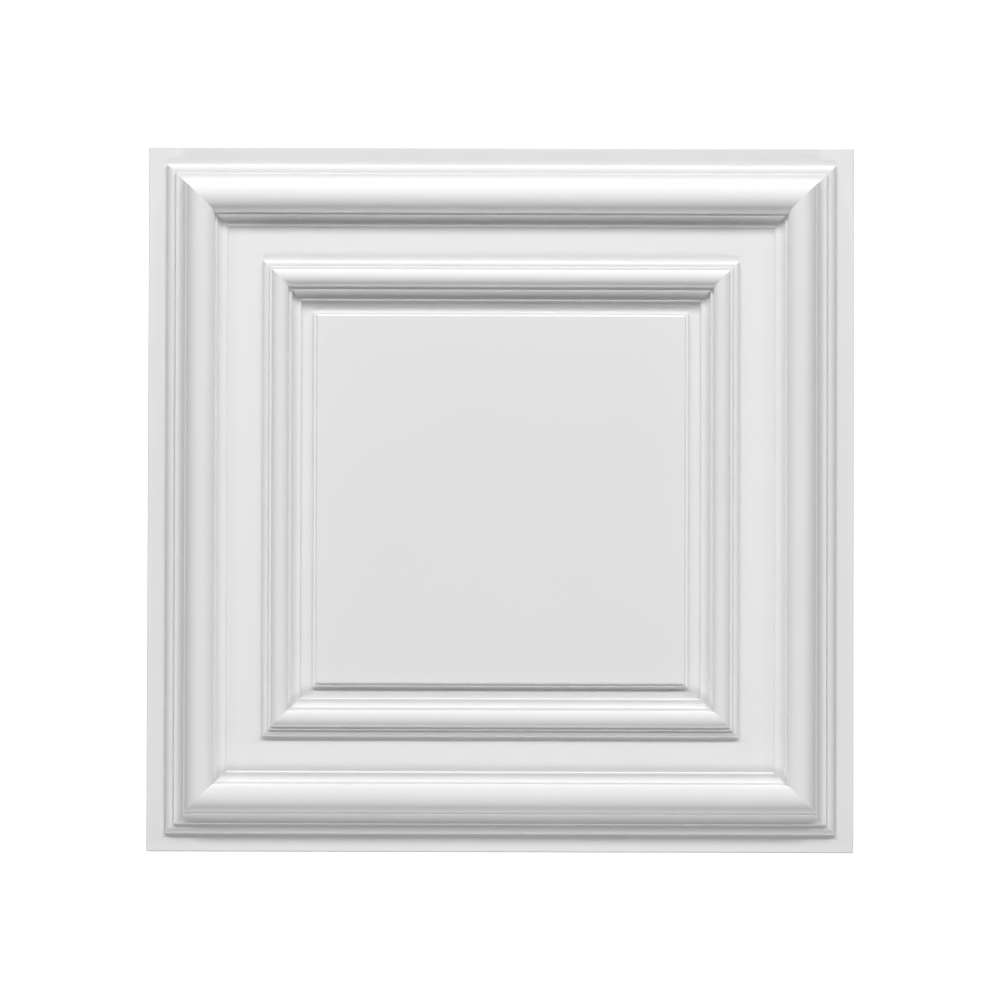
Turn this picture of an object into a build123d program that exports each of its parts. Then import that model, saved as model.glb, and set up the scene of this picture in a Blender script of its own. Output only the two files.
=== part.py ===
import os

from build123d import *

# A square moulded ceiling tile with a coffered face, one piece of rigid foam. It lies on its flat back,
# z = 0, with the middle of the back at the origin and the moulded face up. Sizes in millimetres.
# The section is given member by member from the edge inwards: a run is measured towards the middle,
# a rise towards the room and a fall away from it.

# Whole tile
side = 595.0
rim_thickness = 8.0
edge_radius = 0.8

# Rim that lies on the ceiling grid
rim_run = 15.1

# Outer moulding, climbing from the rim
toe_run, toe_rise = 0.2, 1.3
ovolo_run, ovolo_rise, ovolo_crown = 7.4, 4.5, 2.05
lip_run, lip_rise = 0.4, 3.0
shelf_run = 0.45
cove_run, cove_rise, cove_hollow = 7.55, 7.0, 2.0
ledge_run = 0.25
quirk_run, quirk_rise = 1.0, 0.7
torus_run, torus_fall, torus_crown = 23.1, 0.85, 7.9

# Outer moulding, falling to the field
inner_quirk_run, inner_quirk_fall = 0.8, 4.35
inner_ledge_run = 1.8
inner_cove_run, inner_cove_fall, inner_cove_hollow = 6.9, 5.5, 2.0
stop_run = 1.3
stop_wall_run, stop_wall_fall = 1.2, 1.85

# Flat field between the two mouldings
field_run = 29.4

# Inner moulding, climbing from the field
small_toe_run, small_toe_rise = 0.1, 2.1
small_ovolo_run, small_ovolo_rise, small_ovolo_crown = 4.85, 2.85, 1.4
small_lip_run, small_lip_rise = 0.55, 2.4
small_shelf_run = 2.0
small_torus_run, small_torus_fall, small_torus_crown = 13.8, 0.8, 5.6

# Inner moulding, falling to the sunk margin
small_inner_quirk_run, small_inner_quirk_fall = 0.25, 2.65
small_inner_ledge_run = 2.55
small_cove_wall_run, small_cove_wall_fall = 0.1, 1.45
small_inner_cove_run, small_inner_cove_fall, small_inner_cove_hollow = 5.6, 5.7, 1.6
small_stop_run = 2.05
small_stop_wall_run, small_stop_wall_fall = 0.65, 3.9

# Sunk margin and the raised panel in the middle
margin_run = 10.35
panel_toe_run, panel_toe_rise = 0.1, 3.5
panel_ledge_run = 2.0
panel_lip_run, panel_lip_rise = 0.95, 2.4

half_side = side / 2


def straight(previous, run, rise):
    """The next straight member of the section."""
    return Line(previous @ 1, previous @ 1 + (-run, rise))


def curved(previous, run, rise, bulge):
    """The next curved member, an arc proud of its chord by the bulge, or hollow if that is negative."""
    return SagittaArc(previous @ 1, previous @ 1 + (-run, rise), -bulge)


# One quarter of the tile: the section from the middle to the edge, run along one side
with BuildPart() as quarter:
    with BuildSketch(Plane.XZ) as section:
        with BuildLine():
            back = Line((0, 0), (half_side, 0))
            edge = Line(back @ 1, (half_side, rim_thickness - edge_radius))
            arris = RadiusArc(edge @ 1, (half_side - edge_radius, rim_thickness), -edge_radius)
            rim = straight(arris, rim_run - edge_radius, 0)

            toe = straight(rim, toe_run, toe_rise)
            ovolo = curved(toe, ovolo_run, ovolo_rise, ovolo_crown)
            lip = straight(ovolo, lip_run, lip_rise)
            shelf = straight(lip, shelf_run, 0)
            cove = curved(shelf, cove_run, cove_rise, -cove_hollow)
            ledge = straight(cove, ledge_run, 0)
            quirk = straight(ledge, quirk_run, quirk_rise)
            torus = curved(quirk, torus_run, -torus_fall, torus_crown)
            inner_quirk = straight(torus, inner_quirk_run, -inner_quirk_fall)
            inner_ledge = straight(inner_quirk, inner_ledge_run, 0)
            inner_cove = curved(inner_ledge, inner_cove_run, -inner_cove_fall, -inner_cove_hollow)
            stop = straight(inner_cove, stop_run, 0)
            stop_wall = straight(stop, stop_wall_run, -stop_wall_fall)

            field = straight(stop_wall, field_run, 0)

            small_toe = straight(field, small_toe_run, small_toe_rise)
            small_ovolo = curved(small_toe, small_ovolo_run, small_ovolo_rise, small_ovolo_crown)
            small_lip = straight(small_ovolo, small_lip_run, small_lip_rise)
            small_shelf = straight(small_lip, small_shelf_run, 0)
            small_torus = curved(small_shelf, small_torus_run, -small_torus_fall, small_torus_crown)
            small_inner_quirk = straight(small_torus, small_inner_quirk_run, -small_inner_quirk_fall)
            small_inner_ledge = straight(small_inner_quirk, small_inner_ledge_run, 0)
            small_cove_wall = straight(small_inner_ledge, small_cove_wall_run, -small_cove_wall_fall)
            small_inner_cove = curved(
                small_cove_wall, small_inner_cove_run, -small_inner_cove_fall, -small_inner_cove_hollow
            )
            small_stop = straight(small_inner_cove, small_stop_run, 0)
            small_stop_wall = straight(small_stop, small_stop_wall_run, -small_stop_wall_fall)

            margin = straight(small_stop_wall, margin_run, 0)
            panel_toe = straight(margin, panel_toe_run, panel_toe_rise)
            panel_ledge = straight(panel_toe, panel_ledge_run, 0)
            panel_lip = straight(panel_ledge, panel_lip_run, panel_lip_rise)
            panel = Line(panel_lip @ 1, (0, (panel_lip @ 1).Y))
            Line(panel @ 1, back @ 0)
        make_face()
    extrude(amount=half_side, both=True)
    # Cut along the two mitre lines
    with BuildSketch() as wedge:
        with BuildLine():
            Polyline((0, 0), (half_side, -half_side), (half_side, half_side), close=True)
        make_face()
    extrude(amount=side, mode=Mode.INTERSECT)

# The tile: the same section on all four sides, meeting at the mitres
with BuildPart() as ceiling_tile:
    with PolarLocations(0, 4):
        add(quarter.part)

os.makedirs("parts", exist_ok=True)
ceiling_tile.part.label = "ceiling_tile"
export_step(ceiling_tile.part, "parts/ceiling_tile.step")
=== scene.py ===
import math

import bpy
from mathutils import Matrix, Vector


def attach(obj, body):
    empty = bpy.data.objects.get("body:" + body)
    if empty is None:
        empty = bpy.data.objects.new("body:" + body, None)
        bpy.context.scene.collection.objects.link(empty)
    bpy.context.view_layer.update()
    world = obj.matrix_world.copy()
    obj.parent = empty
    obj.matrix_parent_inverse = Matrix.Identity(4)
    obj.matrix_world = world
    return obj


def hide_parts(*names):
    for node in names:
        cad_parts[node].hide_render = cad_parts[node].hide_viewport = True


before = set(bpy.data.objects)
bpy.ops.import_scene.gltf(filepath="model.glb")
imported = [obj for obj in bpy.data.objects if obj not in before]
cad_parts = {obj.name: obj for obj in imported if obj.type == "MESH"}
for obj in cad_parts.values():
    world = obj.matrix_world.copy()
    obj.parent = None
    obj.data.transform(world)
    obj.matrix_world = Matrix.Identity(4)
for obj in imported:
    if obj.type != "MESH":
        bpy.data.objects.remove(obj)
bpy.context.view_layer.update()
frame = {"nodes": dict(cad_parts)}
scene = bpy.context.scene
scene.view_settings.view_transform = "Standard"
mm = 0.001
print("frame loaded, nodes:", ", ".join(frame["nodes"]))


# Wraps a socket of a node tree, so that node maths reads as plain expressions
class Wire:
    def __init__(self, tree, socket=None):
        self.tree = tree
        self.socket = socket

    def node(self, kind, settings=None, inputs=None, output=0):
        made = self.tree.nodes.new(kind)
        for name, value in (settings or {}).items():
            setattr(made, name, value)
        for name, value in (inputs or {}).items():
            if isinstance(value, Wire):
                self.tree.links.new(value.socket, made.inputs[name])
            else:
                made.inputs[name].default_value = value
        return Wire(self.tree, made.outputs[output] if made.outputs else None)

    def other(self, output):  # another output of the same node
        return Wire(self.tree, self.socket.node.outputs[output])

    def part(self, axis):  # one number of a vector
        return self.node("ShaderNodeSeparateXYZ", {}, {0: self}, axis)

    def maths(self, operation, first, second=0.0):
        return self.node("ShaderNodeMath", {"operation": operation}, {0: first, 1: second})

    def __add__(self, value):
        return self.maths("ADD", self, value)

    __radd__ = __add__

    def __sub__(self, value):
        return self.maths("SUBTRACT", self, value)

    def __rsub__(self, value):
        return self.maths("SUBTRACT", value, self)

    def __mul__(self, value):
        return self.maths("MULTIPLY", self, value)

    __rmul__ = __mul__

    def __truediv__(self, value):
        return self.maths("DIVIDE", self, value)

    def __lt__(self, value):
        return self.maths("LESS_THAN", self, value)

    def __gt__(self, value):
        return self.maths("GREATER_THAN", self, value)

    def __abs__(self):
        return self.maths("ABSOLUTE", self)


# The tile, in millimetres. Each member of the section is its run towards the middle, its rise towards
# the room and the bulge of its arc, which is negative where the arc is hollow.
tile = {
    "node": "ceiling_tile",
    "slot": "white_primer",
    "side": 595.0,
    "rimThickness": 8.0,
    "edgeRadius": 0.8,
    "section": {
        "rim": (15.1, 0.0, 0.0),
        "toe": (0.2, 1.3, 0.0),
        "ovolo": (7.4, 4.5, 2.05),
        "lip": (0.4, 3.0, 0.0),
        "shelf": (0.45, 0.0, 0.0),
        "cove": (7.55, 7.0, -2.0),
        "ledge": (0.25, 0.0, 0.0),
        "quirk": (1.0, 0.7, 0.0),
        "torus": (23.1, -0.85, 7.9),
        "innerQuirk": (0.8, -4.35, 0.0),
        "innerLedge": (1.8, 0.0, 0.0),
        "innerCove": (6.9, -5.5, -2.0),
        "stop": (1.3, 0.0, 0.0),
        "stopWall": (1.2, -1.85, 0.0),
        "field": (29.4, 0.0, 0.0),
        "smallToe": (0.1, 2.1, 0.0),
        "smallOvolo": (4.85, 2.85, 1.4),
        "smallLip": (0.55, 2.4, 0.0),
        "smallShelf": (2.0, 0.0, 0.0),
        "smallTorus": (13.8, -0.8, 5.6),
        "smallInnerQuirk": (0.25, -2.65, 0.0),
        "smallInnerLedge": (2.55, 0.0, 0.0),
        "smallCoveWall": (0.1, -1.45, 0.0),
        "smallInnerCove": (5.6, -5.7, -1.6),
        "smallStop": (2.05, 0.0, 0.0),
        "smallStopWall": (0.65, -3.9, 0.0),
        "margin": (10.35, 0.0, 0.0),
        "panelToe": (0.1, 3.5, 0.0),
        "panelLedge": (2.0, 0.0, 0.0),
        "panelLip": (0.95, 2.4, 0.0),
        "panelBorder": (20.0, 0.0, 0.0),
    },
    "arrisRadius": 0.3,
    "quirkRadius": 0.12,
    "easedTurn": 14.0,  # degrees, a joint that turns less keeps its corner
    "easedShare": 0.45,  # the most that an eased corner takes of a member's length
    "easedSteps": 4,
    "arcStep": 3.0,  # degrees of turn from one point of an arc to the next
    "sharpAngle": 4.0,  # degrees, an edge that turns more shades as a crease
    "cutsPerSide": 16,
}


def arcPoints(start, end, bulge):
    chord = (end - start).length
    along = (end - start) / chord
    proud = Vector((along.y, -along.x))
    halfTurn = 2 * math.atan(2 * bulge / chord)
    radius = chord / (2 * math.sin(halfTurn))
    count = math.ceil(abs(math.degrees(2 * halfTurn)) / tile["arcStep"])
    points = []
    for number in range(1, count + 1):
        turn = halfTurn * (2 * number / count - 1)
        reach = chord / 2 + radius * math.sin(turn)
        points.append(start + along * reach + proud * radius * (math.cos(turn) - math.cos(halfTurn)))
    return points


# Eases the joints between members, the arrises more than the quirks
def easedCorners(points, joints):
    most, steps = tile["easedShare"], tile["easedSteps"]
    eased = [points[0]]
    for number in range(1, len(points) - 1):
        before, here, after = points[number - 1 : number + 2]
        coming, going = here - before, after - here
        turn = coming.angle_signed(going)  # positive where the joint is hollow
        if number not in joints or abs(turn) < math.radians(tile["easedTurn"]):
            eased.append(here)
            continue
        radius = tile["quirkRadius"] if turn > 0 else tile["arrisRadius"]
        cut = min(radius * math.tan(abs(turn) / 2), most * coming.length, most * going.length)
        first = here - coming.normalized() * cut
        last = here + going.normalized() * cut
        for step in range(steps + 1):
            share = step / steps
            eased.append(first * (1 - share) ** 2 + here * 2 * share * (1 - share) + last * share**2)
    return eased + [points[-1]]


# The section, from the foot of the edge up and inwards on to the middle panel
def sectionPoints():
    half = tile["side"] / 2
    radius = tile["edgeRadius"]
    rimEdge = Vector((half - radius, tile["rimThickness"]))
    points = [Vector((half, 0.0)), Vector((half, tile["rimThickness"] - radius))]
    points += arcPoints(points[-1], rimEdge, radius * (1 - math.sqrt(0.5)))
    joints = set()
    for name, (run, rise, bulge) in tile["section"].items():
        if name == "rim":
            run -= radius
        end = points[-1] + Vector((-run, rise))
        points += arcPoints(points[-1], end, bulge) if bulge else [end]
        joints.add(len(points) - 1)
    return easedCorners(points, joints)


# A prism whose rings are drawn to the points of the section, each ring pushed out to a square: the
# section runs round the tile and meets itself at the mitres, and the two caps are the back and the panel
def mitredSweepTree():
    tree = bpy.data.node_groups.new("mitredSweep", "GeometryNodeTree")
    tree.is_modifier = True
    sockets = {
        "Section": ("INPUT", "NodeSocketGeometry"),
        "Cuts per Side": ("INPUT", "NodeSocketInt"),
        "Sharp Angle": ("INPUT", "NodeSocketFloat"),
        "Finish": ("INPUT", "NodeSocketMaterial"),
        "Tile": ("OUTPUT", "NodeSocketGeometry"),
    }
    for name, (way, kind) in sockets.items():
        tree.interface.new_socket(name, in_out=way, socket_type=kind)

    start = Wire(tree)
    section = start.node("NodeGroupInput")
    counted = {"Geometry": section}
    gaps = start.node("GeometryNodeAttributeDomainSize", {"component": "MESH"}, counted) - 1
    rings = {
        "Vertices": section.other("Cuts per Side") * 4,
        "Side Segments": gaps,
        "Radius": 1.0,
        "Depth": gaps,
    }
    prism = start.node("GeometryNodeMeshCylinder", {"fill_type": "TRIANGLE_FAN"}, rings)

    # the ring that a point is on, and the section's point for that ring
    place = start.node("GeometryNodeInputPosition")
    ring = start.maths("ROUND", place.part("Z") + gaps / 2)
    drawn = start.node(
        "GeometryNodeSampleIndex",
        {"data_type": "FLOAT_VECTOR", "domain": "POINT", "clamp": True},
        {"Geometry": section, "Value": start.node("GeometryNodeInputPosition"), "Index": ring},
    )

    # the round ring turned an eighth and pushed out to a square
    eighth = {"Vector": place, "Angle": math.radians(45)}
    turned = start.node("ShaderNodeVectorRotate", {"rotation_type": "Z_AXIS"}, eighth)
    widest = start.maths("MAXIMUM", abs(turned.part("X")), abs(turned.part("Y")))
    reach = drawn.part("X") / widest
    corner = {"X": turned.part("X") * reach, "Y": turned.part("Y") * reach, "Z": drawn.part("Z")}
    square = start.node("ShaderNodeCombineXYZ", {}, corner)
    swept = start.node("GeometryNodeSetPosition", {}, {"Geometry": prism, "Position": square})

    # everything shades smooth apart from the mitres and the creases
    edge = start.node("GeometryNodeInputMeshEdgeVertices")
    offMitre = 0.0
    for end in ("Position 1", "Position 2"):
        point = edge.other(end)
        offMitre = abs(abs(point.part("X")) - abs(point.part("Y"))) + offMitre
    onMitre = offMitre < 0.001 * mm
    crease = start.node("GeometryNodeInputMeshEdgeAngle") > section.other("Sharp Angle")
    rounded = {0: swept, "Shade Smooth": True}
    smooth = start.node("GeometryNodeSetShadeSmooth", {"domain": "FACE"}, rounded)
    sharp = {0: smooth, "Selection": start.maths("MAXIMUM", crease, onMitre), "Shade Smooth": False}
    creased = start.node("GeometryNodeSetShadeSmooth", {"domain": "EDGE"}, sharp)
    whole = start.node("GeometryNodeRealizeInstances", {}, {"Geometry": creased})
    coat = {"Geometry": whole, "Material": section.other("Finish")}
    start.node("NodeGroupOutput", {}, {"Tile": start.node("GeometryNodeSetMaterial", {}, coat)})
    return tree


def ceilingTile(material):
    points = [(point.x * mm, 0.0, point.y * mm) for point in sectionPoints()]
    line = bpy.data.meshes.new("tileSection")
    line.from_pydata(points, [(number, number + 1) for number in range(len(points) - 1)], [])
    piece = bpy.data.objects.new("ceilingTile", line)
    scene.collection.objects.link(piece)

    sweep = piece.modifiers.new("mitredSweep", "NODES")
    sweep.node_group = mitredSweepTree()
    values = {
        "Cuts per Side": tile["cutsPerSide"],
        "Sharp Angle": math.radians(tile["sharpAngle"]),
        "Finish": material,
    }
    for socket in sweep.node_group.interface.items_tree:
        if socket.name in values:
            sweep[socket.identifier] = values[socket.name]

    graph = bpy.context.evaluated_depsgraph_get()
    mesh = bpy.data.meshes.new_from_object(piece.evaluated_get(graph))
    piece.modifiers.remove(sweep)
    piece.data = mesh
    bpy.data.meshes.remove(line)
    return piece


# Matte white primer on moulded foam, with the scales of its patterns per metre
primer = {
    "pale": (0.845, 0.845, 0.842, 1.0),
    "dull": (0.825, 0.825, 0.822, 1.0),
    "cloud": {"Scale": 7.0, "Detail": 3.0},
    "roughness": 0.72,
    "roughnessSpread": 0.12,
    "specular": 0.15,
    "peel": {"Scale": 420.0, "Detail": 2.0},  # the brushed skin of the paint
    "peelDepth": 0.01 * mm,
    "grain": {"Scale": 1900.0, "Detail": 1.0},
    "grainDepth": 0.004 * mm,
    "speck": (0.70, 0.69, 0.67, 1.0),
    "speckScale": 30.0,
    "speckSize": 0.9 * mm,
    "speckShare": 0.12,
    "speckEdge": 2.0,  # how firm the edge of a speck is
}


def whitePrimer():
    material = bpy.data.materials.new("whitePrimer")
    material.use_nodes = True
    material.node_tree.nodes.clear()
    start = Wire(material.node_tree)
    place = start.node("ShaderNodeTexCoord", output="Object")

    cloud = start.node("ShaderNodeTexNoise", {}, {"Vector": place, **primer["cloud"]})
    peel = start.node("ShaderNodeTexNoise", {}, {"Vector": place, **primer["peel"]})
    grain = start.node("ShaderNodeTexNoise", {}, {"Vector": place, **primer["grain"]})

    # a few tiny specks in the paint
    cells = start.node("ShaderNodeTexVoronoi", {}, {"Vector": place, "Scale": primer["speckScale"]})
    chance = start.node("ShaderNodeSeparateColor", {}, {"Color": cells.other("Color")})
    size = primer["speckSize"] * primer["speckScale"]
    near = start.maths("MAXIMUM", 1 - cells / size, 0.0)
    speck = start.maths("MINIMUM", near * primer["speckEdge"], 1.0) * (chance < primer["speckShare"])

    mixed = {"data_type": "RGBA"}
    clouded = {0: cloud, 6: primer["dull"], 7: primer["pale"]}
    white = start.node("ShaderNodeMix", mixed, clouded, output=2)
    specked = {0: speck, 6: white, 7: primer["speck"]}
    colour = start.node("ShaderNodeMix", mixed, specked, output=2)
    skin = peel * primer["peelDepth"] + grain * primer["grainDepth"]
    bump = start.node("ShaderNodeBump", {}, {"Strength": 1.0, "Distance": 1.0, "Height": skin})
    shader = start.node(
        "ShaderNodeBsdfPrincipled",
        {},
        {
            "Base Color": colour,
            "Roughness": primer["roughness"] + primer["roughnessSpread"] * (peel - 0.5),
            "Specular IOR Level": primer["specular"],
            "Normal": bump,
        },
    )
    start.node("ShaderNodeOutputMaterial", {}, {"Surface": shader})
    return material


piece = ceilingTile(whitePrimer())
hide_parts(tile["node"])
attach(piece, "root")
print("tile made, faces:", len(piece.data.polygons))


# Pale floor that the camera sees as white, apart from the tile's shadow
floor = {
    "radius": 40.0,  # metres
    "drop": 0.2 * mm,  # just below the tile's back
    "seen": 0.8,  # what the camera sees of the floor in full shadow
    "colour": (0.6, 0.6, 0.6, 1.0),
}


# 1 where the camera looks, straight, in a gloss or through glass, and 0 for light on the tile
def seenMask(start):
    path = start.node("ShaderNodeLightPath")
    seen = path.other("Is Camera Ray")
    for ray in ("Is Glossy Ray", "Is Transmission Ray"):
        seen = start.maths("MAXIMUM", seen, path.other(ray))
    return seen


def paleFloor():
    material = bpy.data.materials.new("paleFloor")
    material.use_nodes = True
    material.node_tree.nodes.clear()
    start = Wire(material.node_tree)
    diffuse = start.node("ShaderNodeBsdfDiffuse", {}, {"Color": floor["colour"]})
    glow = start.node("ShaderNodeEmission", {}, {"Strength": seenMask(start) * floor["seen"]})
    both = start.node("ShaderNodeAddShader", {}, {0: diffuse, 1: glow})
    start.node("ShaderNodeOutputMaterial", {}, {"Surface": both})

    mesh = bpy.data.meshes.new("floor")
    reach, low = floor["radius"], -floor["drop"]
    mesh.from_pydata(
        [(-reach, -reach, low), (reach, -reach, low), (reach, reach, low), (-reach, reach, low)],
        [],
        [(0, 1, 2, 3)],
    )
    mesh.materials.append(material)
    made = bpy.data.objects.new("floor", mesh)
    scene.collection.objects.link(made)
    return made


paleFloor()
print("floor made")


# Soft lamps round the tile: place and size in metres, each aimed at the tile's middle. A level of 1
# lights a white face that is square to the lamp to full white. A pair also has its mirror image, and
# shares its level.
lamps = {
    "nearKey": {"place": (0.7, 1.8, 1.75), "across": 0.4, "level": 0.368, "pair": True},
    "sideKey": {"place": (3.2, 2.8, 2.35), "across": 0.58, "level": 0.26, "pair": True},
    "farKey": {"place": (2.4, 4.5, 3.6), "across": 0.92, "level": 0.525, "pair": True},
    "lowFill": {"place": (0.0, -1.8, 0.3), "across": 0.29, "level": 0.098, "pair": False},
    "fill": {"place": (0.0, -1.8, 1.3), "across": 0.36, "level": 0.33, "pair": False},
}


def placeLamps():
    for name, lamp in lamps.items():
        sides = (1, -1) if lamp["pair"] else (1,)
        for side in sides:
            place = Vector(lamp["place"]) * Vector((side, 1, 1))
            data = bpy.data.lights.new(name, "AREA")
            data.shape = "DISK"
            data.size = lamp["across"]
            data.energy = lamp["level"] / len(sides) * math.pi**2 * place.length_squared
            made = bpy.data.objects.new(name, data)
            made.location = place
            made.rotation_euler = place.to_track_quat("Z", "Y").to_euler()
            made.visible_camera = False
            scene.collection.objects.link(made)


def whiteRoom():
    world = bpy.data.worlds.new("whiteRoom")
    world.use_nodes = True
    world.node_tree.nodes.clear()
    start = Wire(world.node_tree)
    glow = start.node("ShaderNodeBackground", {}, {"Strength": seenMask(start)})
    start.node("ShaderNodeOutputWorld", {}, {"Surface": glow})
    scene.world = world


placeLamps()
whiteRoom()
print("lit by", ", ".join(lamps))


# Far camera with a long lens, leaning a little towards the tile's lower side
shot = {
    "distance": 14.0,
    "lean": 4.1,  # degrees from straight down
    "roll": 0.155,
    "width": 0.8429,  # metres across the picture at the tile
    "aim": (-0.0006, -0.0006, 0.008),
    "sensor": 36.0,  # millimetres
    "farthest": 100.0,
}


def placeCamera():
    data = bpy.data.cameras.new("camera")
    data.sensor_width = shot["sensor"]
    data.lens = data.sensor_width * shot["distance"] / shot["width"]
    data.clip_end = shot["farthest"]
    made = bpy.data.objects.new("camera", data)
    lean = math.radians(shot["lean"])
    back = Vector((0.0, -math.sin(lean), math.cos(lean)))
    turn = Matrix.Rotation(lean, 4, "X") @ Matrix.Rotation(math.radians(shot["roll"]), 4, "Z")
    made.matrix_world = Matrix.Translation(Vector(shot["aim"]) + back * shot["distance"]) @ turn
    scene.collection.objects.link(made)
    scene.camera = made


placeCamera()
print("camera placed")
